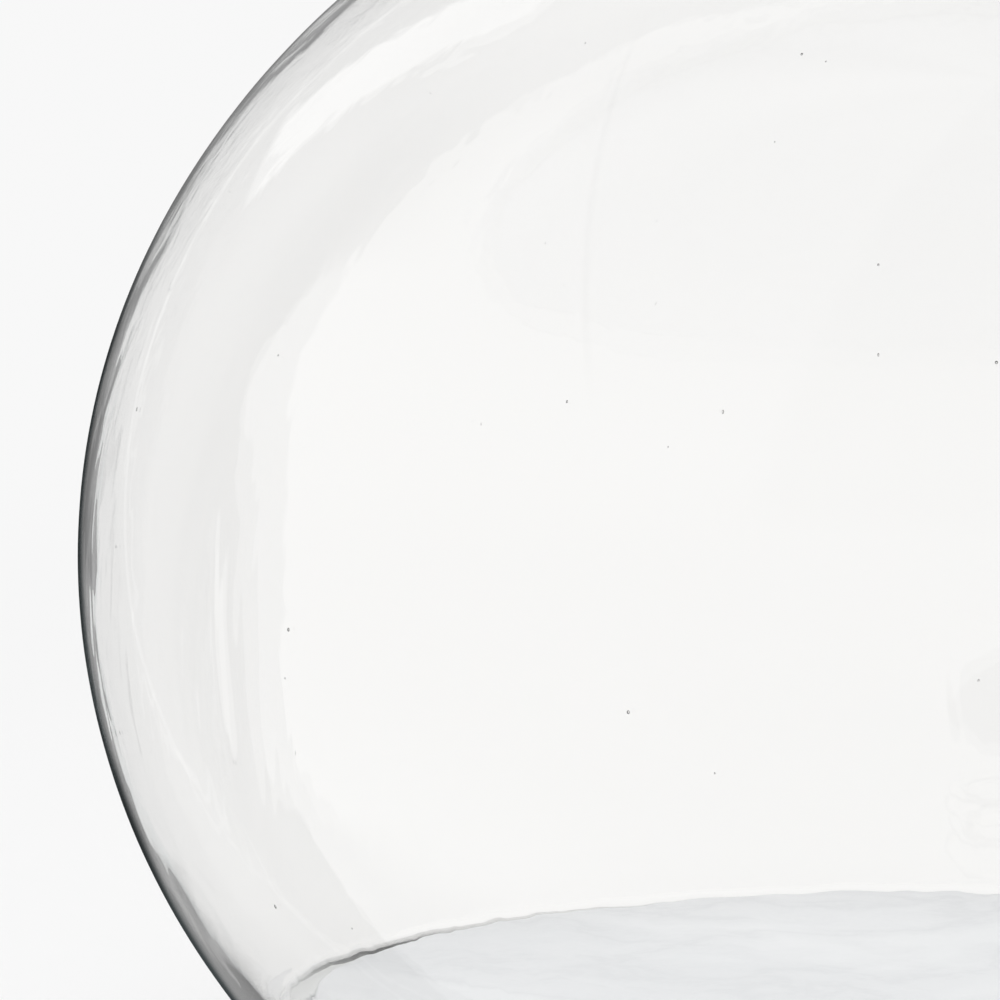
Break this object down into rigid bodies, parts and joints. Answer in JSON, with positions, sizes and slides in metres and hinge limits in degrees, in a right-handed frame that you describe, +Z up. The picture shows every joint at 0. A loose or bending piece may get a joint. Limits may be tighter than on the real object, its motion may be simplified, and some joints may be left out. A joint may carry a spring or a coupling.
{
  "type": "glass cloche",
  "caption": "Clear blown-glass bell with an applied ball knob, resting in a soft ring on a round marble base with a raised locating centre and bumper feet.",
  "frame": {"origin": "on the surface that the feet stand on, under the bell's axis", "axes": "+Z up along the bell's axis, -Y the front, +X to the right seen from the front"},
  "size_m": [0.34, 0.3398, 0.307],
  "materials": {
    "blown_glass": "gloss",
    "applied_glass": "gloss",
    "marble": "satin",
    "bedding": "matte",
    "bumper": "matte"
  },
  "bodies": {
    "base": {"base_slab": "marble", "rim_ring": "bedding", "foot_front_left": "bumper", "foot_front_right": "bumper", "foot_back_left": "bumper", "foot_back_right": "bumper"},
    "bell": {"glass_bell": "blown_glass", "knob_collar": "applied_glass", "glass_knob": "applied_glass"}
  },
  "joints": [
    {"name": "bell_lift", "type": "slide", "parent": "base", "child": "bell", "axis": [0, 0, 1], "range_m": [0, 0.25]}
  ]
}
